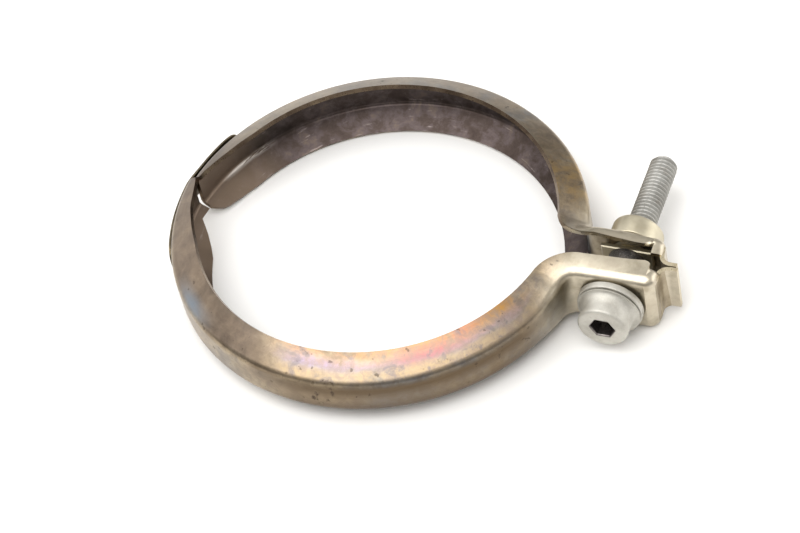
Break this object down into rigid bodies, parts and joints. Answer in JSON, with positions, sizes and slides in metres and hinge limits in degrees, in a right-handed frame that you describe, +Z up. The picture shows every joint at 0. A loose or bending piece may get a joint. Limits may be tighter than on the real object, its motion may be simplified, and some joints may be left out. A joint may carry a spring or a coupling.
{
  "type": "v-band pipe clamp",
  "caption": "Ring clamp of channel-section steel that draws two flared pipe flanges together with a socket-head bolt through its ears.",
  "frame": {"origin": "middle of the footprint, on the surface the clamp lies on", "axes": "+X from the spring-strap hinge towards the ears, +Y along the bolt from its head to its tip, +Z up along the pipe"},
  "size_m": [0.1486, 0.1142, 0.02],
  "materials": {
    "heat_tinted_steel": "heat tinted satin",
    "spring_steel": "dark satin",
    "zinc_flake": "dull coated",
    "satin_steel": "satin"
  },
  "bodies": {
    "near_half": {"near_half_shell": "heat_tinted_steel", "hinge_strap": "spring_steel"},
    "far_half": {"far_half_shell": "heat_tinted_steel"},
    "washer": {"bolt_washer": "zinc_flake"},
    "bolt": {"clamp_bolt": "zinc_flake"},
    "nut": {"swivel_nut": "satin_steel"}
  },
  "joints": [
    {"name": "bolt_spin", "type": "hinge", "parent": "washer", "child": "bolt", "pos_m": [0.0578, -0.00945, 0.01], "axis": [0, -1, 0], "range_deg": [0, 5040]},
    {"name": "half_hinge", "type": "hinge", "parent": "near_half", "child": "far_half", "pos_m": [-0.0737, 0.0054, 0.01], "axis": [0, 0, 1], "range_deg": [0, 7.65], "deforming": ["hinge_strap"]},
    {"name": "washer_tilt", "type": "hinge", "parent": "near_half", "child": "washer", "pos_m": [0.0578, -0.00945, 0.01], "axis": [0, 0, 1], "range_deg": [0, 2.8]},
    {"name": "nut_swivel", "type": "hinge", "parent": "far_half", "child": "nut", "pos_m": [0.0578, 0.01025, 0.01], "axis": [0, 0, 1], "range_deg": [-4.86, 0]}
  ],
  "couplings": [
    {"joint": "half_hinge", "follows": "bolt_spin", "ratio": 0.0015173},
    {"joint": "washer_tilt", "follows": "bolt_spin", "ratio": 0.00055484},
    {"joint": "nut_swivel", "follows": "bolt_spin", "ratio": -0.00096243}
  ]
}
